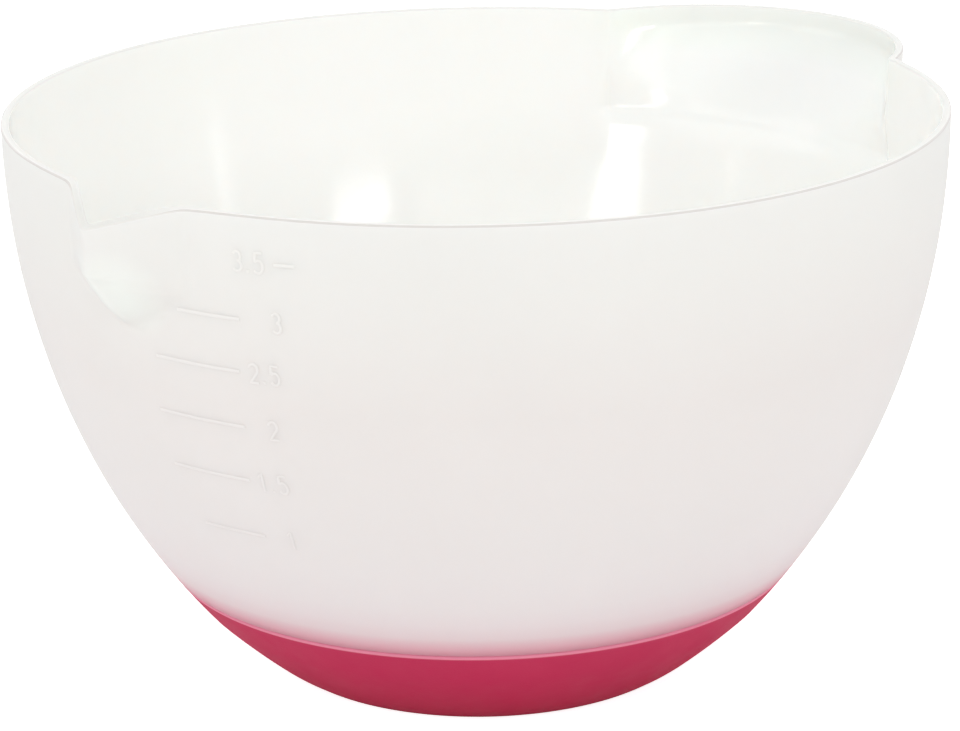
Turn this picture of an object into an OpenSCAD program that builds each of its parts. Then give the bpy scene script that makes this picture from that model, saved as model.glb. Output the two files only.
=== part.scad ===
// Mixing bowl for batter: a thin translucent shell with a pouring spout and a
// wide lobe opposite it, standing on a soft non-slip base moulded round its foot.
// The origin is the centre of the foot, on the table, with +Z up and the spout on -X.

/* [Bowl] */
// Width across the rim, without the spout and the lobe
rim_d = 230; // [180:1:280]
// Height from the table to the rim
bowl_h = 140.4; // [120:0.1:180]
// Width at the table of the wall's curve, before the foot's edge is rounded
foot_d = 108.4; // [80:0.1:130]
// Wall thickness
wall_t = 2; // [1.2:0.1:3]
// Thickness of the shell's floor
floor_t = 2.4; // [1.4:0.1:4]
// Height over which the wall curves into the floor, inside
floor_blend = 4; // [2:0.5:8]
// How far out the wall's curve is steered as it leaves the foot
flare_out_share = 0.236; // [0.15:0.002:0.3]
// How high the wall's curve is steered as it leaves the foot
flare_up_share = 0.085; // [0.05:0.001:0.12]
// How low the wall starts to turn upright
belly_share = 0.407; // [0.35:0.001:0.5]

/* [Soft base] */
// Height of the soft base
base_h = 26.8; // [16:0.1:36]
// Thickness of the soft base round the wall
soft_t = 1.8; // [1:0.1:2.6]
// Thickness of the soft base under the shell
sole_t = 2.6; // [2.2:0.1:5]
// Number of ring-shaped grip grooves under the foot
groove_count = 3; // [1:1:4]
// Width of a grip groove
groove_w = 2; // [1:0.1:3]
// Depth of a grip groove
groove_t = 0.6; // [0.3:0.1:1]
// Rounding of the foot's outer edge, measured up the wall
foot_round = 4; // [1:0.1:5]
// Height of the tongue that keys the soft base into the shell
tongue_h = 1.6; // [0.8:0.1:3]
// Thickness of the tongue
tongue_t = 0.9; // [0.5:0.1:0.9]
// Bevel on each side of the seam between shell and base
seam_bevel = 0.35; // [0.1:0.05:0.6]

/* [Spout] */
// Direction of the spout about the bowl's axis, in degrees
spout_dir = 180; // [160:1:200]
// Width of the spout where it leaves the rim
spout_w = 37.6; // [20:0.1:50]
// How far the spout's flanks would meet beyond the rim, before its nose is rounded
spout_out = 11.6; // [8:0.1:20]
// Radius of the nose, inside
spout_nose_r = 1; // [0.5:0.5:6]
// How far the rim falls by the point where the flanks would meet
spout_drop = 6.3; // [2:0.1:8]
// Depth over which the spout stays upright
spout_lip = 16; // [9:0.5:18]
// Depth at which the spout has narrowed into the wall
spout_depth = 31; // [26:0.5:40]
// How much of the spout's reach is left where its underside turns in steeply
spout_mid_share = 0.72; // [0.5:0.01:0.9]

/* [Lobe] */
// Direction of the lobe about the bowl's axis, in degrees
lobe_dir = 0; // [-20:0.1:20]
// Radius of the lobe's rim, outside
lobe_r = 52.3; // [45:0.1:58]
// How far the lobe's rim stands out beyond the bowl's rim
lobe_out = 22.5; // [15:0.1:28]
// Depth over which the lobe stays upright
lobe_lip = 5.5; // [3:0.5:10]
// Depth at which the lobe has run out into the wall
lobe_depth = 28; // [20:0.5:40]

/* [Graduations] */
// Litres held at the lowest mark
first_mark = 1; // [0.5:0.5:1.5]
// Litres from one mark to the next
mark_step = 0.5; // [0.25:0.25:0.5]
// Litres that the bowl holds beyond what a mark says, at the mark's line
mark_spare = 0.08; // [0:0.01:0.1]
// Number of marks
mark_count = 6; // [2:1:6]
// Length of a mark, in degrees round the bowl
mark_sweep = 12; // [4:1:16]
// Direction in which the marks start, in degrees from the spout
mark_start = 2.6; // [0:0.2:10]
// Length of the highest mark, which stands beside the spout, in degrees
top_mark_sweep = 2.4; // [1:0.2:8]
// Direction in which the highest mark starts, in degrees from the spout
top_mark_start = 21; // [14:0.5:30]
// Height of a mark's line on the wall
mark_w = 0.8; // [0.5:0.1:1.5]
// How far a mark stands out of the wall
mark_relief = 0.3; // [0.2:0.05:0.6]

/* [Hidden] */
$fn = 96;
// Steps along the wall's curve above the base, and along the base
wall_steps = 26;
base_steps = 8;
// Steps round the nose, the lobe and a blend between two lines
arc_steps = 12;
lobe_steps = 30;
// How far a cut runs past what it cuts
over = 3;
// Cubic millimetres in a litre
litre = 1e6;
rim_r = rim_d / 2;
foot_r = foot_d / 2;
floor_z = sole_t + floor_t;
// How deep the rim end and the foot of an added body lie in the wall
root_share = 0.5;
foot_share = 0.25;
root_t = root_share * wall_t;
sink_t = foot_share * wall_t;
// How much higher a hollow's foot lies than the body's round it
rise_share = 0.5;
// Height of a thin slice that a hull starts from
slice_share = 0.1;
slice_h = slice_share * wall_t;
// Where between its lip and its foot the spout turns in, and the radius of its toe
turn_share = 0.35;
toe_share = 0.12;
toe_r = toe_share * spout_w;
// The wall thickens over this height above the base, to make room for the soft part
thicken_h = base_h;

// The wall's outer curve, a cubic from the foot to the rim, as [radius, height]
foot_point = [foot_r, 0];
flare_point = [foot_r + flare_out_share * (rim_r - foot_r), flare_up_share * bowl_h];
belly_point = [rim_r, belly_share * bowl_h];
rim_point = [rim_r, bowl_h];

function curve(t) =
    pow(1 - t, 3) * foot_point
    + 3 * pow(1 - t, 2) * t * flare_point
    + 3 * (1 - t) * t * t * belly_point
    + pow(t, 3) * rim_point;

// Direction of the curve, and the direction square to it, into the bowl
function along(t) =
    let (v = pow(1 - t, 2) * (flare_point - foot_point)
        + 2 * (1 - t) * t * (belly_point - flare_point)
        + t * t * (rim_point - belly_point))
    v / norm(v);
function inward(t) = [-along(t).y, along(t).x];

// A point at a depth under the outer curve
function skin(t, depth) = curve(t) + depth * inward(t);

// Full thickness: the wall alone above, the wall and the soft base below
function ease(s) = let (c = max(0, min(1, s))) c * c * (3 - 2 * c);
function thickness(t) = wall_t + soft_t * (1 - ease((curve(t).y - base_h) / thicken_h));
function inner(t) = skin(t, thickness(t));

// The place along the curve where the outer, seat or inner surface is at a height
function height_of(t, surface) =
    surface == "outer" ? curve(t).y : surface == "seat" ? skin(t, soft_t).y : inner(t).y;
function place(z, surface, low = 0, high = 1, n = 40) =
    let (mid = (low + high) / 2)
    n == 0 ? mid
    : height_of(mid, surface) < z ? place(z, surface, mid, high, n - 1)
    : place(z, surface, low, mid, n - 1);
function outer_r(z) = curve(place(z, "outer")).x;
function inner_r(z) = inner(place(z, "inner")).x;

function run(a, b, n, surface) = [
    for (i = [0:n])
        let (t = a + (b - a) * i / n)
        surface == "outer" ? curve(t) : surface == "seat" ? skin(t, soft_t) : inner(t)
];

// A curve from one point to another, steered by a corner
function blend(a, corner, b, n) = [
    for (i = [0:n]) let (s = i / n) pow(1 - s, 2) * a + 2 * s * (1 - s) * corner + s * s * b
];

// Where the soft base ends on the wall, and a point near there by depth and rise
seam_t = place(base_h, "outer");
function at_seam(depth, rise) = skin(seam_t, depth) + rise * along(seam_t);
seat_t = place(sole_t, "seat");
seat = run(seat_t, seam_t, base_steps, "seat");
tongue = [at_seam(soft_t, tongue_h), at_seam(soft_t - tongue_t, tongue_h), at_seam(soft_t - tongue_t, 0)];

// Inside of the bowl: the floor, a blend and the wall
floor_t_end = place(floor_z + floor_blend, "inner");
blend_top = inner(floor_t_end);
blend_dir = inner(floor_t_end + 1 / wall_steps) - blend_top;
blend_corner = blend_top - blend_dir * floor_blend / blend_dir.y;
blend_foot = blend_corner - [norm(blend_top - blend_corner), 0];
inner_points = concat(
    blend(blend_foot, blend_corner, blend_top, base_steps),
    run(floor_t_end + 1 / wall_steps, 1, wall_steps, "inner")
);

module shell_body() {
    rotate_extrude()
        polygon(concat(
            [[0, bowl_h], [0, sole_t]],
            seat,
            tongue,
            [at_seam(seam_bevel, 0)],
            run(place(base_h + seam_bevel, "outer"), 1, wall_steps, "outer")
        ));
}

module shell_inside() {
    rotate_extrude()
        polygon(concat(
            [[0, bowl_h + over], [0, floor_z]],
            inner_points,
            [[rim_r - wall_t, bowl_h + over]]
        ));
}

// The spout in plan: a vee with a rounded nose, its flanks a given inset inside
// those of the outer surface, with its roots on a circle of the wall
spout_root = [sqrt(pow(rim_r, 2) - pow(spout_w / 2, 2)), spout_w / 2];

module spout_plan(out, inset, wall_r) {
    apex = rim_r + out;
    half = atan2(spout_root.y, apex - spout_root.x);
    tip = apex - inset / sin(half);
    nose = spout_nose_r + wall_t - inset;
    centre = tip - nose / sin(half);
    slope = pow(tan(half), 2);
    root_r = wall_r - inset - root_t;
    root_x = (tip * slope + sqrt(root_r * root_r * (1 + slope) - tip * tip * slope)) / (1 + slope);
    root_y = (tip - root_x) * tan(half);
    turn = 90 - half;
    polygon(concat(
        [[root_x, -root_y]],
        [for (i = [-arc_steps:arc_steps]) let (a = turn * i / arc_steps)
            [centre + nose * cos(a), nose * sin(a)]],
        [[root_x, root_y]]
    ));
}

// One skin of the spout: upright at the lip, then drawn in to a rounded toe on the wall
module spout_skin(inset, top) {
    mid_z = bowl_h - spout_lip - turn_share * (spout_depth - spout_lip);
    toe_z = bowl_h - spout_depth + toe_r;
    rise = rise_share * inset;
    rotate(spout_dir)
        hull() {
            translate([0, 0, bowl_h - spout_lip + rise])
                linear_extrude(spout_lip - rise + top)
                    spout_plan(spout_out, inset, rim_r);
            translate([0, 0, mid_z + rise])
                linear_extrude(slice_h)
                    spout_plan(spout_mid_share * spout_out, inset, outer_r(mid_z));
            translate([outer_r(toe_z) - toe_r - sink_t, 0, toe_z])
                sphere(r = toe_r - inset, $fn = 24);
        }
}

// Everything above the spout's falling edge
module spout_fall() {
    fall = atan2(spout_drop, rim_r + spout_out - spout_root.x);
    rotate(spout_dir)
        translate([spout_root.x, 0, bowl_h])
            rotate([0, fall, 0])
                translate([0, -spout_w, 0])
                    cube([spout_w + spout_out, 2 * spout_w, spout_drop + over]);
}

// The lobe in plan at the rim: an arc about its own centre, with its roots on the wall
lobe_x = rim_r + lobe_out - lobe_r;

function lobe_turn(wall_r, r) = acos((lobe_x * lobe_x + r * r - wall_r * wall_r) / (-2 * lobe_x * r));

module lobe_plan(inset) {
    r = lobe_r - inset;
    turn = lobe_turn(rim_r - inset - root_t, r);
    polygon([for (i = [-lobe_steps:lobe_steps]) let (a = turn * i / lobe_steps)
        [lobe_x + r * cos(a), r * sin(a)]]);
}

// The slice of wall that the lobe runs out into
module lobe_foot_plan(inset, wall_r) {
    r = wall_r - inset - sink_t;
    top_r = lobe_r - inset;
    turn = lobe_turn(rim_r - inset - root_t, top_r);
    span = atan2(top_r * sin(turn), lobe_x + top_r * cos(turn));
    polygon([for (i = [-arc_steps:arc_steps]) let (a = span * i / arc_steps) r * [cos(a), sin(a)]]);
}

// One skin of the lobe: upright at the lip, then sloping in to the wall
module lobe_skin(inset, top) {
    foot_z = bowl_h - lobe_depth;
    rise = rise_share * inset;
    rotate(lobe_dir)
        hull() {
            translate([0, 0, bowl_h - lobe_lip + rise])
                linear_extrude(lobe_lip - rise + top)
                    lobe_plan(inset);
            translate([0, 0, foot_z + rise])
                linear_extrude(slice_h)
                    lobe_foot_plan(inset, outer_r(foot_z));
        }
}

// Volume held up to a height, summed in thin discs
disc_count = 60;
function disc_sum(z, k) =
    k == 0 ? 0 : pow(inner_r(floor_z + (z - floor_z) * (k - 0.5) / disc_count), 2) + disc_sum(z, k - 1);
function held(z) = PI * (z - floor_z) / disc_count * disc_sum(z, disc_count);
function level(volume, low = floor_z, high = bowl_h, n = 14) =
    let (mid = (low + high) / 2)
    n == 0 ? mid
    : held(mid) < volume ? level(volume, mid, high, n - 1)
    : level(volume, low, mid, n - 1);

// A raised line on the outside at the level of each volume
module marks() {
    for (k = [0:mark_count - 1]) {
        t = place(level((first_mark + k * mark_step + mark_spare) * litre), "outer");
        top = k == mark_count - 1;
        rotate(spout_dir + (top ? top_mark_start : mark_start))
            rotate_extrude(angle = top ? top_mark_sweep : mark_sweep)
                polygon([
                    skin(t, root_t) - mark_w / 2 * along(t),
                    skin(t, -mark_relief) - mark_w / 2 * along(t),
                    skin(t, -mark_relief) + mark_w / 2 * along(t),
                    skin(t, root_t) + mark_w / 2 * along(t)
                ]);
    }
}

// Translucent shell: the bowl's wall and floor, its spout, its lobe and its marks
module bowl_shell() {
    color([0.93, 0.92, 0.9, 0.6])
        difference() {
            union() {
                shell_body();
                spout_skin(0, 0);
                lobe_skin(0, 0);
                marks();
            }
            shell_inside();
            spout_skin(wall_t, over);
            lobe_skin(wall_t, over);
            spout_fall();
        }
}

// Soft base moulded round the shell's foot, keyed in at its upper edge by a tongue
module nonslip_base() {
    edge_t = place(foot_round, "outer");
    flat_r = foot_r - foot_round;
    groove_gap = flat_r / (groove_count + 1);
    color([0.71, 0.2, 0.32])
        rotate_extrude()
            difference() {
                polygon(concat(
                    [[0, sole_t]],
                    seat,
                    tongue,
                    [at_seam(seam_bevel, 0)],
                    run(place(base_h - seam_bevel, "outer"), edge_t, base_steps, "outer"),
                    blend(curve(edge_t), foot_point, [flat_r, 0], base_steps),
                    [[0, 0]]
                ));
                for (k = [1:groove_count])
                    translate([k * groove_gap - groove_w / 2, -over])
                        square([groove_w, groove_t + over]);
            }
}

bowl_shell();
nonslip_base();
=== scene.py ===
"""Looks of the batter bowl: a frosted translucent shell with a pouring spout, a wide
lobe and raised graduations, standing in a soft crimson base. Lengths in the making
are in millimetres and are written to the meshes in metres."""
import math

import bpy
import numpy as np
from mathutils import Matrix, Vector


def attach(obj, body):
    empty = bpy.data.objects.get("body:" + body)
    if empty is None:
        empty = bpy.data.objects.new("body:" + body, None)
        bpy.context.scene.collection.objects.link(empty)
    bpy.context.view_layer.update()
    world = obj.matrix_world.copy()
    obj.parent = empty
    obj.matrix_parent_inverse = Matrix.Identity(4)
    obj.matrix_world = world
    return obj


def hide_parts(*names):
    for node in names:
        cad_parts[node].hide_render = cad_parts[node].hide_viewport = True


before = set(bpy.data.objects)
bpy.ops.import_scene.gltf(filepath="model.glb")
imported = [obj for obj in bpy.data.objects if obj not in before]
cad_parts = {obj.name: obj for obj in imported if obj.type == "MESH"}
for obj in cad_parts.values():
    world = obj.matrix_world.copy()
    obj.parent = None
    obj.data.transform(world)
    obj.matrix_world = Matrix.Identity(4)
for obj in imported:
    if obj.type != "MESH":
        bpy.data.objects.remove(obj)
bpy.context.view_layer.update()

MM = 0.001

# The wall's curve, as in the CAD source
RIM_R, HEIGHT = 115.0, 140.4
FOOT_R, FLARE_OUT, FLARE_UP, BELLY = 54.2, 0.236, 0.085, 0.407
WALL_T, SOFT_T, SOLE_T, FLOOR_T, FLOOR_BLEND = 2.0, 1.8, 2.6, 2.4, 4.0
BASE_H = 26.8
FLOOR_Z = SOLE_T + FLOOR_T
CURVE_POINTS = 3001

CONTROL = np.array([
    [FOOT_R, 0.0],
    [FOOT_R + FLARE_OUT * (RIM_R - FOOT_R), FLARE_UP * HEIGHT],
    [RIM_R, BELLY * HEIGHT],
    [RIM_R, HEIGHT],
])


def wall_curve(t):
    """Points of the outer curve, and the unit normals that point into the bowl."""
    t = np.asarray(t, float)[:, None]
    a, b, c, d = CONTROL
    point = (1 - t) ** 3 * a + 3 * (1 - t) ** 2 * t * b + 3 * (1 - t) * t * t * c + t ** 3 * d
    along = (1 - t) ** 2 * (b - a) + 2 * (1 - t) * t * (c - b) + t * t * (d - c)
    along /= np.linalg.norm(along, axis=1)[:, None]
    return point, np.stack([-along[:, 1], along[:, 0]], 1)


def ease(s):
    """A smooth step from 0 to 1."""
    s = np.clip(s, 0, 1)
    return s * s * (3 - 2 * s)


OUTER, INWARD = wall_curve(np.linspace(0, 1, CURVE_POINTS))
DEPTH = WALL_T + SOFT_T * (1 - ease((OUTER[:, 1] - BASE_H) / BASE_H))
INNER = OUTER + DEPTH[:, None] * INWARD
SEAT = OUTER + SOFT_T * INWARD
SEAM = np.argmin(np.abs(OUTER[:, 1] - BASE_H))


def radius_at(z, line):
    """Radius of a line of the wall (OUTER, INNER or SEAT) at a height."""
    return np.interp(z, line[:, 1], line[:, 0])


def at_seam(depth):
    """The point of the wall's section at the seam, a depth inside the outer surface."""
    return OUTER[SEAM] + depth * INWARD[SEAM]


def quadratic(a, corner, b, count):
    """Points of a curve from a to b, steered by a corner."""
    return [
        tuple((1 - s) ** 2 * a + 2 * s * (1 - s) * corner + s * s * b) for s in np.linspace(0, 1, count)
    ]


# Spout and lobe as radii about the bowl's axis
SPOUT_AZ, LOBE_AZ = math.pi, 0.0

# Keel and half width of the spout, by depth below the rim.
KEEL_DEPTH = [0, 14.5, 17.0, 19.6, 22.1, 25.0, 27.7, 29.4, 31.0, 33.0]
KEEL_R = [126.65, 126.65, 126.2, 124.4, 122.4, 120.2, 117.6, 115.4, 112.6, 108.0]
SPOUT_HALF_DEPTH = [0, 18.5, 20.5, 22.5, 26.0, 29.5, 31.5, 33.0]
SPOUT_HALF = [18.8, 18.8, 18.0, 15.6, 10.4, 4.6, 1.6, 0.8]
# Half angle that the spout keeps to, and how often its formula is repeated to settle.
SPOUT_SPREAD, SPOUT_ROUNDS = math.radians(40), 40
# Slope of the flanks, where and how fast they are cut off past their root, and the nose.
FLANK_FLATTEST, FLANK_STEEPEST, LEAST_ROOT = 0.02, 1.12, 1
FLANK_CUT, FLANK_CUT_FROM = 3, 1
NOSE_R_OUT, NOSE_R_IN = 1.3, 0.5
# Fall of the rim along the spout: its slope, start, bend and half angle.
SPOUT_FALL, SPOUT_FALL_START, SPOUT_FALL_BEND, SPOUT_FALL_AZ = 0.43, 112.6, 1.5, 0.3

# The lobe: centre and radius of its arc, its upright lip, its depth and its ledge.
LOBE_X, LOBE_R, LOBE_LIP, LOBE_DEPTH, LOBE_LEDGE = 85.2, 52.3, 5.5, 28.0, 0.3
# Share of its widest direction, the bend under its lip, and its run-out below and beside.
LOBE_REACH, LOBE_LIP_BEND, LOBE_BELOW, LOBE_SHORT = 0.995, 1.2, 1.5, 2

# Softness of the creases where the forms meet, wider for the low part of the lobe.
CREASE, LOBE_CREASE_OUT, LOBE_CREASE_IN = 0.7, 0.3, 0.6
LOBE_MERGE, MERGE_GROW, MERGE_FADE = 4.5, 2, 1.5
# Share of the wall by which the inside of the forms is lifted.
SKIN_LIFT = 0.5
# Radius that stands for no form in a direction.
UNUSED_R = 10.0


def soft_positive(a, bend):
    """The positive part of a value, with a rounded bend at zero."""
    return 0.5 * (a + np.sqrt(a * a + bend))


def smooth_max(a, b, e):
    """The larger of two radii, with a rounded crease between them."""
    return 0.5 * (a + b + np.sqrt((a - b) ** 2 + e * e))


def wrap(a):
    """An angle brought to the range from minus pi to pi."""
    return (a + math.pi) % (2 * math.pi) - math.pi


def spout_radius(az, depth, wall_r, inset, nose):
    """Radius of the spout's flanks: a vee with a rounded nose, in polar form."""
    a = wrap(az - SPOUT_AZ)
    keel = np.interp(depth, KEEL_DEPTH, KEEL_R)
    half = np.interp(depth, SPOUT_HALF_DEPTH, SPOUT_HALF)
    root = np.sqrt(np.maximum(wall_r ** 2 - half ** 2, LEAST_ROOT))
    slope = np.clip((keel - root) / half, FLANK_FLATTEST, FLANK_STEEPEST)
    apex = keel - inset * np.sqrt(1 + slope ** 2)
    near = np.abs(a) < SPOUT_SPREAD
    a = np.where(near, a, SPOUT_SPREAD)
    r = np.full(np.broadcast(a, apex).shape, RIM_R)
    for _ in range(SPOUT_ROUNDS):
        r = (apex - slope * np.sqrt((r * np.sin(a)) ** 2 + nose * nose)) / np.cos(a)
    r = r - FLANK_CUT * np.maximum(np.abs(r * np.sin(a)) - half - FLANK_CUT_FROM, 0)
    return np.where(near & (depth < KEEL_DEPTH[-1]), r, UNUSED_R)


def lobe_radius(az, depth, foot_r, inset):
    """Radius of the lobe: an arc at the rim, upright at its lip, sloping in to the wall."""
    a = wrap(az - LOBE_AZ)
    r = LOBE_R - inset
    limit = math.asin(r / LOBE_X) * LOBE_REACH
    near = np.abs(a) < limit
    a = np.where(near, a, limit)
    top = LOBE_X * np.cos(a) + np.sqrt(np.maximum(r * r - (LOBE_X * np.sin(a)) ** 2, 0))
    past = soft_positive(depth - LOBE_LIP, LOBE_LIP_BEND)
    fall = np.minimum(past / (LOBE_DEPTH - LOBE_LIP), 1)
    below = LOBE_BELOW * np.maximum(depth - LOBE_DEPTH, 0)
    short = np.maximum(RIM_R - inset - top, 0)
    return np.where(near, top + (foot_r - top) * fall - below - LOBE_SHORT * short, UNUSED_R)


def shell_radius(az, z, inside):
    """Radius of the shell's outer or inner surface in a direction and at a height."""
    line, inset, nose = (INNER, WALL_T, NOSE_R_IN) if inside else (OUTER, 0.0, NOSE_R_OUT)
    wall_r = radius_at(z, line)
    outer_r = radius_at(z, OUTER)
    depth = HEIGHT - z
    lift = SKIN_LIFT * inset
    foot_r = radius_at(HEIGHT - LOBE_DEPTH + lift, line) + LOBE_LEDGE
    r = smooth_max(wall_r, spout_radius(az, depth + lift, outer_r, inset, nose), CREASE)
    lobe = lobe_radius(az, depth + lift * depth / LOBE_DEPTH, foot_r, inset)
    crease = LOBE_CREASE_IN if inside else LOBE_CREASE_OUT
    grown = ease(MERGE_GROW * depth / LOBE_DEPTH - 1)
    faded = ease(2 * MERGE_FADE - MERGE_FADE * depth / LOBE_DEPTH)
    return smooth_max(r, lobe, crease + LOBE_MERGE * (grown * faded))


def rim_height(az, r):
    """Height of the rim, which falls along the spout."""
    at_spout = np.abs(wrap(az - SPOUT_AZ)) < SPOUT_FALL_AZ
    u = np.where(at_spout, -r * np.cos(az), 0) - SPOUT_FALL_START
    return HEIGHT - SPOUT_FALL * soft_positive(u, SPOUT_FALL_BEND)


# Mesh helpers
def grid_faces(rows, cols):
    """Quads of a grid of rows, closed round its columns."""
    i, j = np.meshgrid(np.arange(rows - 1), np.arange(cols), indexing="ij")
    k = (j + 1) % cols
    quads = np.stack([i * cols + j, i * cols + k, (i + 1) * cols + k, (i + 1) * cols + j], -1)
    return quads.reshape(-1, 4).tolist()


def fan(ring, centre, flip=False):
    """Triangles from a ring of vertices to its centre."""
    pairs = zip(ring, ring[1:] + ring[:1])
    return [(b, a, centre) if flip else (a, b, centre) for a, b in pairs]


def closed_surface(points, rows, cols, low, high):
    """A grid of rows with a fan at each end, whose centres lie at two heights of the axis."""
    count = len(points)
    faces = grid_faces(rows, cols)
    faces += fan(list(range(cols)), count, flip=True)
    faces += fan(list(range(count - cols, count)), count + 1)
    return np.vstack([points, [0, 0, low], [0, 0, high]]), faces


def make_object(name, points, faces, smooth_angle=40):
    """A mesh object in metres from points in millimetres."""
    mesh = bpy.data.meshes.new(name)
    mesh.from_pydata((np.asarray(points) * MM).tolist(), [], faces)
    mesh.validate()
    mesh.update()
    obj = bpy.data.objects.new(name, mesh)
    bpy.context.scene.collection.objects.link(obj)
    mesh.shade_smooth()
    mesh.set_sharp_from_angle(angle=math.radians(smooth_angle))
    return obj


def lathe(profile, turns=360):
    """Points and faces of a profile turned about the axis, where it starts and ends."""
    profile = np.asarray(profile, float)
    az = np.arange(turns) * 2 * math.pi / turns
    ring = profile[1:-1]
    points = np.stack([
        ring[:, :1] * np.cos(az), ring[:, :1] * np.sin(az), np.repeat(ring[:, 1:], turns, 1)
    ], -1).reshape(-1, 3)
    return closed_surface(points, len(ring), turns, profile[0, 1], profile[-1, 1])


# The shell

# The groove reaches GROOVE_H up and down from the seam, and the shell's edge above it
# has a small brink. The rim's edges are rounded in rows at RIM_ANGLES.
GROOVE_H, GROOVE_T, GROOVE_BACK = 0.7, 0.45, 0.3
BRINK_H, BRINK_T = 0.12, 0.05
RIM_ROUND, RIM_ANGLES = 0.4, (30, 60, 90)
# Half widths of the fine columns and steps of the columns, in degrees.
SPOUT_EDGE, LOBE_EDGE = 12, 36
SPOUT_STEP, LOBE_STEP, SIDE_STEP = 0.22, 0.25, 1.2
# Steps of the rows up the wall, close together near the rim, and counts of other rows.
DENSE_DEPTH, WALL_STEP, DENSE_STEP, LAST_STEP = 36, 2.0, 0.7, 0.4
SEAT_ROWS, BLEND_ROWS = 9, 9
FLOOR_SHARES = (0.66, 0.33)
SLOPE_STEP = 1


def shell_directions():
    """Directions of the mesh's columns, close together at the spout and the lobe."""
    spout = np.radians(np.arange(-SPOUT_EDGE, SPOUT_EDGE, SPOUT_STEP)) + SPOUT_AZ
    left = np.radians(np.arange(180 + SPOUT_EDGE, 360 - LOBE_EDGE, SIDE_STEP))
    lobe = np.radians(np.arange(-LOBE_EDGE, LOBE_EDGE, LOBE_STEP)) + 2 * math.pi
    right = np.radians(np.arange(LOBE_EDGE, 180 - SPOUT_EDGE, SIDE_STEP)) + 2 * math.pi
    return np.concatenate([spout, left, lobe, right])


def row_at(az, r, z):
    """A row of points at radii and heights that are each one value or one for each column."""
    return np.stack([r * np.cos(az), r * np.sin(az), np.broadcast_to(z, az.shape)], -1)


def row_shares(low):
    """Shares of the height, close together over the spout's and the lobe's depth."""
    dense = HEIGHT - DENSE_DEPTH
    z = np.concatenate([
        np.arange(low, dense, WALL_STEP), np.arange(dense, HEIGHT - LAST_STEP, DENSE_STEP), [HEIGHT]
    ])
    return (z - low) / (HEIGHT - low)


def wall_rows(az, low, top, inside):
    """Rows of one side of the wall, from a height up to the rim's rounding."""
    heights = [low + (top - RIM_ROUND - low) * s for s in row_shares(low)]
    return [row_at(az, shell_radius(az, z, inside), z) for z in heights]


def rounding_rows(az, top, inside):
    """Rows of the rim's rounded edge on one side, from the wall up to the crown."""
    rows = []
    for angle in RIM_ANGLES:
        out = RIM_ROUND * (1 - math.cos(math.radians(angle)))
        up = RIM_ROUND * (1 - math.sin(math.radians(angle)))
        r = shell_radius(az, top - up, inside) + (out if inside else -out)
        rows.append(row_at(az, r, top - up))
    return rows


def seat_rows(az):
    """Rows of the seat that the soft base lies in, and of the groove at the seam."""
    rows = [row_at(az, radius_at(z, SEAT), z) for z in np.linspace(SOLE_T, SEAT[SEAM][1], SEAT_ROWS)]
    rows.append(row_at(az, *at_seam(GROOVE_T + GROOVE_BACK)))
    rows.append(row_at(az, *at_seam(GROOVE_T)))
    brink = BASE_H + GROOVE_H - BRINK_H
    rows.append(row_at(az, radius_at(brink, OUTER) - BRINK_T, brink))
    return rows


def floor_rows(az, blend_z):
    """Rows of the inside's turn into the flat floor, and of the floor."""
    end_r = radius_at(blend_z, INNER)
    slope = (radius_at(blend_z + SLOPE_STEP, INNER) - end_r) / SLOPE_STEP
    corner_r = end_r - slope * FLOOR_BLEND
    foot = corner_r - math.hypot(end_r - corner_r, FLOOR_BLEND)
    rows = []
    for s in np.linspace(0, 1, BLEND_ROWS)[1:]:
        r = (1 - s) ** 2 * end_r + 2 * s * (1 - s) * corner_r + s * s * foot
        z = (1 - s) ** 2 * blend_z + (1 - (1 - s) ** 2) * FLOOR_Z
        rows.append(row_at(az, r, z))
    return rows + [row_at(az, foot * share, FLOOR_Z) for share in FLOOR_SHARES]


def build_shell():
    """Points and faces of the shell, and the first faces of its edge, crown and inside."""
    az = shell_directions()
    out_r, in_r = (shell_radius(az, np.full_like(az, HEIGHT), inside) for inside in (False, True))
    out_top, in_top = rim_height(az, out_r), rim_height(az, in_r)
    blend_z = FLOOR_Z + FLOOR_BLEND
    rows = seat_rows(az)
    rows += wall_rows(az, BASE_H + GROOVE_H, out_top, False) + rounding_rows(az, out_top, False)
    crown = len(rows)
    rows.append(row_at(az, (out_r + in_r) / 2, (out_top + in_top) / 2))
    rows += rounding_rows(az, in_top, True)[::-1] + wall_rows(az, blend_z, in_top, True)[::-1]
    rows += floor_rows(az, blend_z)
    cols, rounding = len(az), len(RIM_ANGLES)
    points, faces = closed_surface(np.concatenate(rows), len(rows), cols, SOLE_T, FLOOR_Z)
    starts = [row * cols for row in (crown - rounding - 1, crown - 1, crown + rounding + 1)]
    return points, faces, starts


# Graduations

# Heights of the marks, about half a litre apart, and their two ends in degrees.
LEVELS = [60.0, 75.4, 89.6, 103.6, 116.3, 129.9]
TICKS = [
    (183.4, 193.5), (181.6, 193.7), (182.0, 194.8), (183.4, 195.4), (187.8, 196.2), (201.0, 203.4)
]
# Labels, and the direction where each starts.
LABELS = ["1", "1.5", "2", "2.5", "3", "3.5"]
LABEL_AZ = [196.9, 194.9, 198.0, 196.6, 200.2, 195.9]
DIGIT_H, DIGIT_W, DIGIT_GAP, DOT_SHARE = 4.6, 2.5, 0.8, 0.45
# Width, height and step along the path of a tick and of a digit's stroke.
TICK_W, TICK_T, TICK_STEP = 0.75, 0.1, 1.0
STROKE_W, STROKE_T, STROKE_STEP = 0.6, 0.085, 0.8
# Section of both, in shares of width and height. Its lowest points sink into the wall.
STROKE_SECTION = [(-0.5, -1), (-0.5, 0.35), (-0.3, 0.9), (0, 1.0), (0.3, 0.9), (0.5, 0.35), (0.5, -1)]
SINK, END_PULL = 0.05, 0.07
# Step up and down from a point, to find the wall's slope there.
PROBE = 0.5


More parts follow.
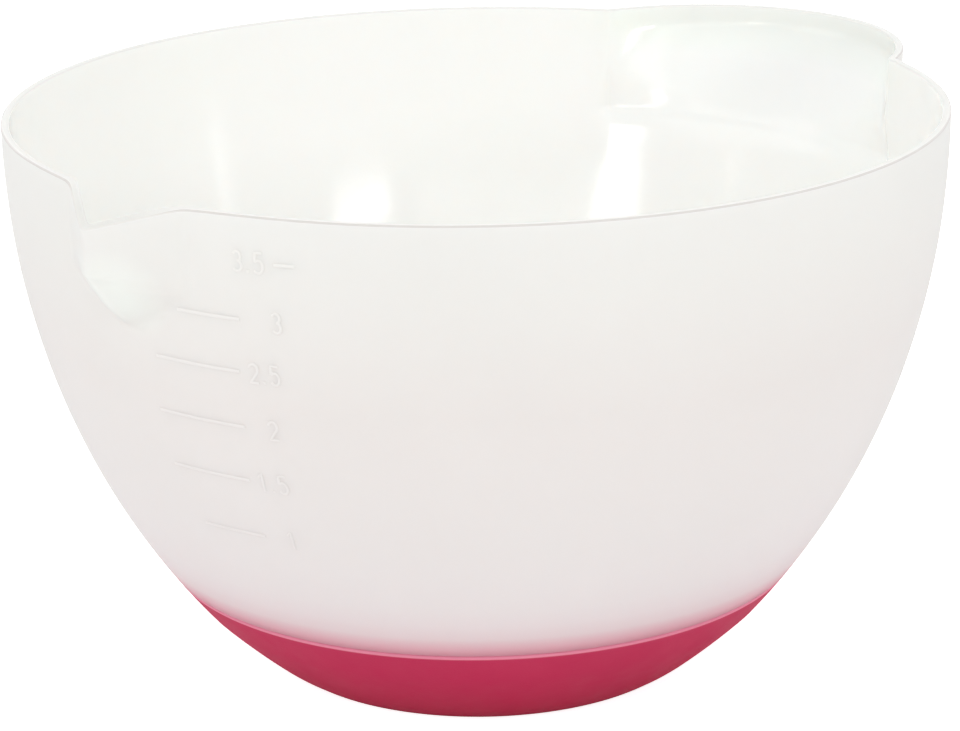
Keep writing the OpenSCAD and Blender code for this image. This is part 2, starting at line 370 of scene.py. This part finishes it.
def arc(cx, cy, rx, ry, start, end, steps=12):
    """Points of an elliptic arc in a digit's own square, angles in degrees."""
    a = np.radians(np.linspace(start, end, steps + 1))
    return [(cx + rx * math.cos(t), cy + ry * math.sin(t)) for t in a]


DIGITS = {
    "1": [[(0.2, 0.78), (0.55, 1.0), (0.55, 0.0)]],
    "2": [arc(0.5, 0.72, 0.42, 0.28, 165, -35) + [(0.08, 0.0), (0.95, 0.0)]],
    "3": [arc(0.46, 0.76, 0.36, 0.24, 150, -80), arc(0.46, 0.27, 0.42, 0.27, 85, -150)],
    "5": [[(0.88, 1.0), (0.2, 1.0), (0.13, 0.56)] + arc(0.48, 0.32, 0.44, 0.32, 130, -145)],
    ".": [[(0.45, 0.0), (0.45, 0.1)]],
}


def on_wall(az_deg, z):
    """A point of the wall, and the wall's outward direction there."""
    az = math.radians(az_deg)
    below, above = (
        float(shell_radius(np.array([az]), np.array([z + d]), False)[0]) for d in (-PROBE, PROBE)
    )
    normal = Vector((math.cos(az), math.sin(az), (below - above) / (2 * PROBE))).normalized()
    r = (below + above) / 2
    return Vector((r * math.cos(az), r * math.sin(az), z)), normal


def stroke(path, width, height):
    """A raised bar with rounded shoulders along a path of (direction, height) points."""
    spots = [on_wall(*p) for p in path]
    count, last = len(STROKE_SECTION), len(spots) - 1
    points = []
    for i, (spot, normal) in enumerate(spots):
        ahead = (spots[min(i + 1, last)][0] - spots[max(i - 1, 0)][0]).normalized()
        side = normal.cross(ahead).normalized()
        for x, y in STROKE_SECTION:
            level = y * height if y > 0 else -SINK
            points.append(spot + side * (x * width) + normal * level)
    for end, step in ((0, 1), (last, -1)):
        pull = (spots[end][0] - spots[end + step][0]).normalized() * (width * END_PULL)
        for n in range(count):
            points[end * count + n] += pull
    faces = grid_faces(len(spots), count)
    faces.append(tuple(range(count - 1, -1, -1)))
    faces.append(tuple(range(last * count, (last + 1) * count)))
    return points, faces


def dense(path, step):
    """The path with points no further apart than a step, in millimetres on the wall."""
    out = [path[0]]
    for (a0, z0), (a1, z1) in zip(path, path[1:]):
        length = math.hypot(math.radians(a1 - a0) * RIM_R, z1 - z0)
        n = max(1, math.ceil(length / step))
        out += [(a0 + (a1 - a0) * k / n, z0 + (z1 - z0) * k / n) for k in range(1, n + 1)]
    return out


def digit_paths(text, az, z):
    """Strokes of a label, starting at a direction, its middle at a height."""
    per_deg = math.radians(1) * float(radius_at(z, OUTER))
    x, paths = 0.0, []
    for c in text:
        wide = DIGIT_W * (DOT_SHARE if c == "." else 1.0)
        for line in DIGITS[c]:
            paths.append([
                (az + (x + px * wide) / per_deg, z + (py - 0.5) * DIGIT_H) for px, py in line
            ])
        x += wide + DIGIT_GAP
    return paths


def graduations():
    """Every raised tick and numeral as one set of points and faces."""
    parts = [
        stroke(dense([(a, z), (b, z)], TICK_STEP), TICK_W, TICK_T)
        for (a, b), z in zip(TICKS, LEVELS)
    ]
    for text, az, z in zip(LABELS, LABEL_AZ, LEVELS):
        parts += [stroke(dense(p, STROKE_STEP), STROKE_W, STROKE_T) for p in digit_paths(text, az, z)]
    points, faces = [], []
    for p, f in parts:
        faces += [tuple(n + len(points) for n in face) for face in f]
        points += p
    return np.array([tuple(p) for p in points]), faces


# The soft base

# The flat sole turns into the side over a slanted edge with a curve at each end.
FLAT_R, FLAT_BLEND = 51.0, 0.9
FOOT_TURN_H, FOOT_TURN_BLEND = 3.0, 1.5
CHAMFER_START, CHAMFER_END = 0.2, 0.7
FLAT_TURN_POINTS, SIDE_TURN_POINTS, SIDE_POINTS, LIP_POINTS = 6, 7, 18, 7
# How far the side draws in towards the foot, and from what height down.
FOOT_DRAW, FOOT_DRAW_H = 2.0, 17.0
GRIP_RINGS, GRIP_W, GRIP_T, GRIP_BEVEL, GRIP_DRAFT = [12.8, 25.6, 38.4], 2.0, 0.6, 0.15, 0.1
SHOULDER_IN, SHOULDER_DOWN = 0.02, 0.22
SOFT_GAP = 0.04


def foot_side(z):
    """Radius of the soft base's side, drawn in a little towards the foot."""
    drop = (FOOT_DRAW_H - z) / (FOOT_DRAW_H - FOOT_TURN_H)
    return radius_at(z, OUTER) - FOOT_DRAW * max(drop, 0)


def grip_ring(r):
    """Half section of one grip groove under the foot."""
    inner, outer = r - GRIP_W / 2, r + GRIP_W / 2
    return [
        (inner - GRIP_BEVEL, 0), (inner, GRIP_BEVEL), (inner + GRIP_DRAFT, GRIP_T),
        (outer - GRIP_DRAFT, GRIP_T), (outer, GRIP_BEVEL), (outer + GRIP_BEVEL, 0),
    ]


def base_profile():
    """Half section of the soft base, from the axis under the foot round to the axis on top."""
    sole = [(0.0, 0.0)]
    for r in GRIP_RINGS:
        sole += grip_ring(r)
    side = [
        (foot_side(z), z)
        for z in np.linspace(FOOT_TURN_H + FOOT_TURN_BLEND, BASE_H - GROOVE_H, SIDE_POINTS)
    ]
    turn, flat_end = np.array([foot_side(FOOT_TURN_H), FOOT_TURN_H]), np.array([FLAT_R, 0.0])
    start = flat_end + (turn - flat_end) * CHAMFER_START
    end = flat_end + (turn - flat_end) * CHAMFER_END
    edge = quadratic(flat_end - np.array([FLAT_BLEND, 0]), flat_end, start, FLAT_TURN_POINTS)
    edge += quadratic(end, turn, np.array(side[0]), SIDE_TURN_POINTS)[:-1]
    shoulder = OUTER[SEAM] - np.array([SHOULDER_IN, SHOULDER_DOWN])
    lip = quadratic(np.array(side[-1]), shoulder, at_seam(GROOVE_T), LIP_POINTS)[1:]
    seat_top = at_seam(SOFT_T - SOFT_GAP)
    seat = [
        (radius_at(z, SEAT) + SOFT_GAP, z) for z in np.linspace(seat_top[1], SOLE_T, SEAT_ROWS)[1:]
    ]
    return sole + edge + side + lip + [tuple(seat_top)] + seat + [(0.0, SOLE_T - SOFT_GAP)]


# Materials

# Places of the colour sockets on a mix node.
MIX_A, MIX_B, MIX_OUT = 6, 7, 2


def linear(r, g, b):
    """An sRGB colour, 0 to 255, as linear light."""
    def one(c):
        c /= 255
        return c / 12.92 if c <= 0.04045 else ((c + 0.055) / 1.055) ** 2.4
    return one(r), one(g), one(b), 1.0


class Nodes:
    """A small helper to write a node tree in few lines."""

    def __init__(self, tree):
        self.tree = tree
        tree.nodes.clear()

    def add(self, kind, **settings):
        node = self.tree.nodes.new(kind)
        for key, value in settings.items():
            setattr(node, key, value)
        return node

    def link(self, a, b):
        self.tree.links.new(a, b)

    def ramp(self, source, stops):
        """A colour ramp from stops of (share, colour)."""
        node = self.add("ShaderNodeValToRGB")
        node.color_ramp.interpolation = "LINEAR"
        elements = node.color_ramp.elements
        while len(elements) > 1:
            elements.remove(elements[-1])
        elements[0].position, elements[0].color = stops[0]
        for position, colour in stops[1:]:
            elements.new(position).color = colour
        self.link(source, node.inputs["Fac"])
        return node.outputs["Color"]

    def noise(self, vector, scale, detail):
        node = self.add("ShaderNodeTexNoise")
        node.inputs["Scale"].default_value = scale
        node.inputs["Detail"].default_value = detail
        self.link(vector, node.inputs["Vector"])
        return node.outputs["Fac"]

    def map_range(self, source, low, high, to_low, to_high):
        node = self.add("ShaderNodeMapRange")
        sockets = ("From Min", "From Max", "To Min", "To Max")
        for key, value in zip(sockets, (low, high, to_low, to_high)):
            node.inputs[key].default_value = value
        self.link(source, node.inputs["Value"])
        return node.outputs["Result"]

    def vary(self, vector, scale, detail, low, high):
        """A value that drifts between two others over the surface."""
        return self.map_range(self.noise(vector, scale, detail), *NOISE_LIMITS, low, high)

    def calculate(self, operation, a, b):
        node = self.add("ShaderNodeMath", operation=operation)
        self.link(a, node.inputs[0])
        self.link(b, node.inputs[1])
        return node.outputs[0]

    def mix_colour(self, factor, a, b, blend="MIX"):
        node = self.add("ShaderNodeMix", data_type="RGBA", blend_type=blend)
        sockets = (node.inputs["Factor"], node.inputs[MIX_A], node.inputs[MIX_B])
        for socket, value in zip(sockets, (factor, a, b)):
            if isinstance(value, bpy.types.NodeSocket):
                self.link(value, socket)
            else:
                socket.default_value = value
        return node.outputs[MIX_OUT]

    def bump(self, height, strength, distance):
        node = self.add("ShaderNodeBump")
        node.inputs["Strength"].default_value = strength
        node.inputs["Distance"].default_value = distance
        self.link(height, node.inputs["Height"])
        return node.outputs["Normal"]


def new_material(name):
    """A material with its nodes, its shader, the surface's place and that place's X and Z."""
    material = bpy.data.materials.new(name)
    material.use_nodes = True
    n = Nodes(material.node_tree)
    out = n.add("ShaderNodeOutputMaterial")
    shader = n.add("ShaderNodeBsdfPrincipled")
    n.link(shader.outputs["BSDF"], out.inputs["Surface"])
    where = n.add("ShaderNodeTexCoord").outputs["Object"]
    split = n.add("ShaderNodeSeparateXYZ")
    n.link(where, split.inputs["Vector"])
    return material, n, shader, where, split.outputs["X"], split.outputs["Z"]


# Colours of the shell by height in millimetres. The outside carries a painted pink glow of the crimson
# base shining through the wall near the seam, and its tone up the wall is painted to follow the light
# on it.
OUTSIDE_PAINTED_GLOW_STOPS = [
    (0, (206, 122, 142)), (27.0, (206, 124, 144)), (27.7, (214, 150, 164)), (29.4, (224, 178, 188)),
    (33, (230, 216, 218)), (37, (232, 224, 225)), (42, (232, 227, 227)), (60, (229, 225, 224)),
    (95, (227, 223, 221)), (125, (229, 228, 225)), (140, (230, 230, 227)),
]
# Painted light: the inside is the same plastic as the outside, painted lighter for the light it
# catches, with a painted pink glow of the crimson base on its floor.
INSIDE_PAINTED_LIGHT_STOPS = [
    (0, (240, 200, 209)), (6, (240, 200, 209)), (12, (242, 205, 213)), (22, (243, 209, 216)),
    (27, (246, 222, 227)), (33, (247, 243, 241)), (48, (245, 253, 244)), (140, (245, 253, 243)),
]
# Painted shade: the rim's outer rounded edge is darker than the outside, darkest at the top, as a dark
# line along the rim.
EDGE_PAINTED_SHADE_STOPS = [(0, (224, 222, 218)), (138.5, (224, 222, 218)), (139.6, (209, 205, 202))]
# Painted shade: the rim's crown is darker than the inside, to hold down the light that falls on it, and
# a little lighter at its top.
CROWN_PAINTED_SHADE_STOPS = [(0, (227, 227, 223)), (137.5, (227, 227, 223)), (139.8, (236, 236, 232))]
# Painted light: the marks are coloured lighter than the wall, to make up for the light that scatters in
# the wall but not in them.
MARK_PAINTED_LIGHT_STOPS = [(0, (238, 234, 233)), (95, (237, 233, 231)), (140, (239, 238, 234))]

# Colours of the soft base by share of its height, a little darker towards the foot, with a painted
# highlight on the bevel at the seam.
BASE_COLOUR_AND_HIGHLIGHT_STOPS = [
    (0.0, (194, 34, 78)), (0.5, (198, 37, 84)), (0.965, (198, 44, 87)),
    (0.98, (238, 142, 166)), (1.0, (226, 136, 160)),
]

# Each noise is its scale and its detail, and NOISE_LIMITS are its usual least and most.
NOISE_LIMITS = (0.3, 0.7)
SHELL_CLOUD, SHELL_PATCH, SHELL_GRAIN = (22, 4), (60, 3), (1400, 2)
BASE_CLOUD, BASE_PATCH, BASE_GRAIN = (30, 4), (90, 3), (2200, 2)
# How dark the clouds get, how much rougher the patches, and the grain's strength and depth.
SHELL_DARKEST, SHELL_ROUGHER, SHELL_BUMP = 0.985, 0.07, (0.06, 0.0002)
BASE_DARKEST, BASE_ROUGHNESS, BASE_BUMP = 0.95, (0.52, 0.64), (0.15, 0.0003)
SHELL_IOR, BASE_IOR, BASE_SHINE = 1.49, 1.46, 0.28
SCATTER, SCATTER_RADIUS, SCATTER_SCALE = 0.6, (1.0, 0.9, 0.85), 0.005
# Painted shade on the lobe's lip, and painted light round the spout's nose.
LIP_SHADE, LIP_FROM_X, LIP_TO_X = (0.868, 0.833, 0.885, 1), 96, 122
LIP_FADE_DOWN, LIP_FADE_UP = 7, 1.5
NOSE_AT, NOSE_SPAN, NOSE_CORE = (-121.5, -3.0, 117.0), 14.0, 0.3
NOSE_PAINTED_LIGHT = linear(235, 238, 233)


def shade_lip(n, colour, x, z):
    """The inside's colour, a little darker on the upright lip of the lobe."""
    edge = HEIGHT - LOBE_LIP
    factor = n.calculate(
        "MULTIPLY",
        n.map_range(x, LIP_FROM_X * MM, LIP_TO_X * MM, 0, 1),
        n.map_range(z, (edge - LIP_FADE_DOWN) * MM, (edge + LIP_FADE_UP) * MM, 0, 1),
    )
    return n.mix_colour(factor, colour, n.mix_colour(1.0, colour, LIP_SHADE, "MULTIPLY"))


def paint_light_on_nose(n, colour, where):
    """The outside's colour with pale green painted light round the spout's nose, lifting its
    downward-facing underside.
    """
    off = n.add("ShaderNodeVectorMath", operation="DISTANCE")
    n.link(where, off.inputs[0])
    off.inputs[1].default_value = [v * MM for v in NOSE_AT]
    near = n.map_range(off.outputs["Value"], NOSE_CORE * NOSE_SPAN * MM, NOSE_SPAN * MM, 1, 0)
    return n.mix_colour(near, colour, NOSE_PAINTED_LIGHT)


def shell_material(name, stops, roughness, scatter, shine):
    """Frosted plastic, coloured by height, with painted light and shade in its colours."""
    material, n, shader, where, x, z = new_material(name)
    height = n.map_range(z, 0, HEIGHT * MM, 0, 1)
    glow = n.ramp(height, [(mm / HEIGHT, linear(*colour)) for mm, colour in stops])
    colour = n.mix_colour(1.0, glow, n.vary(where, *SHELL_CLOUD, SHELL_DARKEST, 1.0), "MULTIPLY")
    if name == "frosted_inside_painted_light":
        colour = shade_lip(n, colour, x, z)
    if name == "frosted_outside_painted_light":
        colour = paint_light_on_nose(n, colour, where)
    rough = n.vary(where, *SHELL_PATCH, roughness, roughness + SHELL_ROUGHER)
    n.link(colour, shader.inputs["Base Color"])
    n.link(rough, shader.inputs["Roughness"])
    n.link(n.bump(n.noise(where, *SHELL_GRAIN), *SHELL_BUMP), shader.inputs["Normal"])
    shader.inputs["IOR"].default_value = SHELL_IOR
    shader.inputs["Specular IOR Level"].default_value = shine
    shader.inputs["Subsurface Weight"].default_value = scatter
    shader.inputs["Subsurface Radius"].default_value = SCATTER_RADIUS
    shader.inputs["Subsurface Scale"].default_value = SCATTER_SCALE
    return material


def base_material():
    """Soft crimson rubber with a fine grain and a painted highlight at the seam."""
    material, n, shader, where, _, z = new_material("soft_base")
    height = n.map_range(z, 0, BASE_H * MM, 0, 1)
    body = n.ramp(height, [(share, linear(*colour)) for share, colour in BASE_COLOUR_AND_HIGHLIGHT_STOPS])
    colour = n.mix_colour(1.0, body, n.vary(where, *BASE_CLOUD, BASE_DARKEST, 1.0), "MULTIPLY")
    n.link(colour, shader.inputs["Base Color"])
    n.link(n.vary(where, *BASE_PATCH, *BASE_ROUGHNESS), shader.inputs["Roughness"])
    n.link(n.bump(n.noise(where, *BASE_GRAIN), *BASE_BUMP), shader.inputs["Normal"])
    shader.inputs["IOR"].default_value = BASE_IOR
    shader.inputs["Specular IOR Level"].default_value = BASE_SHINE
    return material


# Pieces

# Each finish of the shell is its name, colours, roughness, scatter and shine.
SHELL_FINISHES = [
    ("frosted_outside_painted_light", OUTSIDE_PAINTED_GLOW_STOPS, 0.4, SCATTER, 0.4),
    ("frosted_inside_painted_light", INSIDE_PAINTED_LIGHT_STOPS, 0.08, 1.0, 0.5),
    ("frosted_edge_painted_shade", EDGE_PAINTED_SHADE_STOPS, 0.3, SCATTER, 0.5),
    ("frosted_crown_painted_shade", CROWN_PAINTED_SHADE_STOPS, 0.6, SCATTER, 0.1),
]
INSIDE, EDGE, CROWN = 1, 2, 3
MARK_FINISH = ("frosted_marks_painted_light", MARK_PAINTED_LIGHT_STOPS, 0.3, 0.0, 0.5)

shell_points, shell_faces, (edge_start, crown_start, inside_start) = build_shell()
shell = make_object("shell", shell_points, shell_faces)
for finish in SHELL_FINISHES:
    shell.data.materials.append(shell_material(*finish))
index = np.zeros(len(shell.data.polygons), int)
index[inside_start:] = INSIDE
index[edge_start:crown_start] = EDGE
index[crown_start:inside_start] = CROWN
shell.data.polygons.foreach_set("material_index", index.tolist())
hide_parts("bowl_shell")
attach(shell, "root")

marks = make_object("graduations", *graduations())
marks.data.materials.append(shell_material(*MARK_FINISH))
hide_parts("bowl_shell")
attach(marks, "root")

soft_base = make_object("soft_base", *lathe(base_profile()))
soft_base.data.materials.append(base_material())
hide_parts("nonslip_base")
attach(soft_base, "root")


# Camera
VIEW_AZ = math.radians(223.7)
CAMERA_OUT, CAMERA_UP = 849.5, 339.7
PITCH, ROLL = math.radians(17.419), math.radians(-0.9415)
SENSOR_WIDTH, LENS = 36, 133.92


def camera_matrix():
    """Place and turn of the camera, which looks at the bowl's axis from VIEW_AZ."""
    place = Vector((CAMERA_OUT * math.cos(VIEW_AZ), CAMERA_OUT * math.sin(VIEW_AZ), CAMERA_UP)) * MM
    heading = VIEW_AZ + math.pi
    ahead = Vector((
        math.cos(heading) * math.cos(PITCH), math.sin(heading) * math.cos(PITCH), -math.sin(PITCH)
    ))
    right = Vector((math.sin(heading), -math.cos(heading), 0))
    up = right.cross(ahead)
    side = right * math.cos(ROLL) + up * math.sin(ROLL)
    top = up * math.cos(ROLL) - right * math.sin(ROLL)
    turn = Matrix((side, top, -ahead)).transposed().to_4x4()
    return Matrix.Translation(place) @ turn


camera = bpy.data.objects.new("camera", bpy.data.cameras.new("camera"))
bpy.context.scene.collection.objects.link(camera)
camera.data.sensor_width = SENSOR_WIDTH
camera.data.lens = LENS
camera.matrix_world = camera_matrix()
bpy.context.scene.camera = camera

# Floor, with its sizes in metres
FLOOR_SIZE, FLOOR_DROP = 6.0, 0.0001
FLOOR_COLOUR, FLOOR_GLOW = (0.92, 0.92, 0.92, 1), 0.8


def floor_material():
    """A white floor that keeps shadows and glows to the camera alone."""
    material = bpy.data.materials.new("floor_white")
    material.use_nodes = True
    n = Nodes(material.node_tree)
    out = n.add("ShaderNodeOutputMaterial")
    diffuse = n.add("ShaderNodeBsdfDiffuse")
    diffuse.inputs["Color"].default_value = FLOOR_COLOUR
    glow = n.add("ShaderNodeEmission")
    seen = n.add("ShaderNodeLightPath").outputs["Is Camera Ray"]
    n.link(n.map_range(seen, 0, 1, 0, FLOOR_GLOW), glow.inputs["Strength"])
    both = n.add("ShaderNodeAddShader")
    n.link(diffuse.outputs["BSDF"], both.inputs[0])
    n.link(glow.outputs["Emission"], both.inputs[1])
    n.link(both.outputs["Shader"], out.inputs["Surface"])
    return material


half = FLOOR_SIZE / 2
corners = [(-half, -half, 0), (half, -half, 0), (half, half, 0), (-half, half, 0)]
floor_mesh = bpy.data.meshes.new("floor")
floor_mesh.from_pydata(corners, [], [(0, 1, 2, 3)])
floor = bpy.data.objects.new("floor", floor_mesh)
bpy.context.scene.collection.objects.link(floor)
floor_mesh.materials.append(floor_material())
floor.location.z = -FLOOR_DROP

# Light

# Each lamp is its name, its direction from the bowl in degrees round and up, its
# distance and its width and height in metres, and its watts.
LAMPS = [
    ("top_box", 223.7, 82, 1.6, (1.4, 1.4), 1),
    ("front_box", 215, 30, 1.7, (1.6, 0.9), 4),
    ("back_box", 43.7, 30, 1.7, (1.6, 0.9), 8.8),
    ("left_box", 140, 22, 1.7, (1.4, 1.2), 4),
    ("right_box", 305, 22, 1.7, (1.4, 1.2), 3.4),
    ("near_window", 257.9, 14.2, 1.5, (0.42, 0.21), 2.3),
]
# These shine through the shell, which does not block them.
THROUGH_LAMPS = [
    ("far_window", 182.8, 17.5, 1.5, (0.34, 0.28), 1.7),
    ("left_strip", 148, 2, 1.5, (0.08, 0.8), 0.3),
    ("right_strip", 298.5, 2, 1.5, (0.08, 0.8), 0.5),
]
LAMP_TARGET = Vector((0, 0, 0.08))
AROUND_STRENGTH, SEEN_STRENGTH = 0.63, 1.0


def area_light(name, az_deg, elevation, distance, size, watts):
    """A softbox that looks at the middle of the bowl."""
    lamp = bpy.data.lights.new(name, "AREA")
    lamp.shape = "RECTANGLE"
    lamp.size, lamp.size_y = size
    lamp.energy = watts
    obj = bpy.data.objects.new(name, lamp)
    bpy.context.scene.collection.objects.link(obj)
    az, el = math.radians(az_deg), math.radians(elevation)
    toward = Vector((math.cos(az) * math.cos(el), math.sin(az) * math.cos(el), math.sin(el)))
    turn = toward.to_track_quat("Z", "Y").to_matrix().to_4x4()
    obj.matrix_world = Matrix.Translation(LAMP_TARGET + toward * distance) @ turn
    return obj


def build_world():
    """A white world, stronger where the camera, gloss or glass sees it than as light."""
    world = bpy.data.worlds.new("studio")
    world.use_nodes = True
    n = Nodes(world.node_tree)
    out = n.add("ShaderNodeOutputWorld")
    background = n.add("ShaderNodeBackground")
    background.inputs["Color"].default_value = (1, 1, 1, 1)
    path = n.add("ShaderNodeLightPath").outputs
    seen = n.calculate("MAXIMUM", path["Is Camera Ray"], path["Is Transmission Ray"])
    seen = n.calculate("MAXIMUM", seen, path["Is Glossy Ray"])
    strength = n.map_range(seen, 0, 1, AROUND_STRENGTH, SEEN_STRENGTH)
    n.link(strength, background.inputs["Strength"])
    n.link(background.outputs["Background"], out.inputs["Surface"])
    return world


for settings in LAMPS:
    area_light(*settings)
opaque = bpy.data.collections.new("opaque")
opaque.objects.link(soft_base)
opaque.objects.link(floor)
for settings in THROUGH_LAMPS:
    lamp = area_light(*settings)
    lamp.light_linking.blocker_collection = opaque
    lamp.data.cycles.use_multiple_importance_sampling = False
bpy.context.scene.world = build_world()
bpy.context.scene.view_settings.view_transform = "Standard"
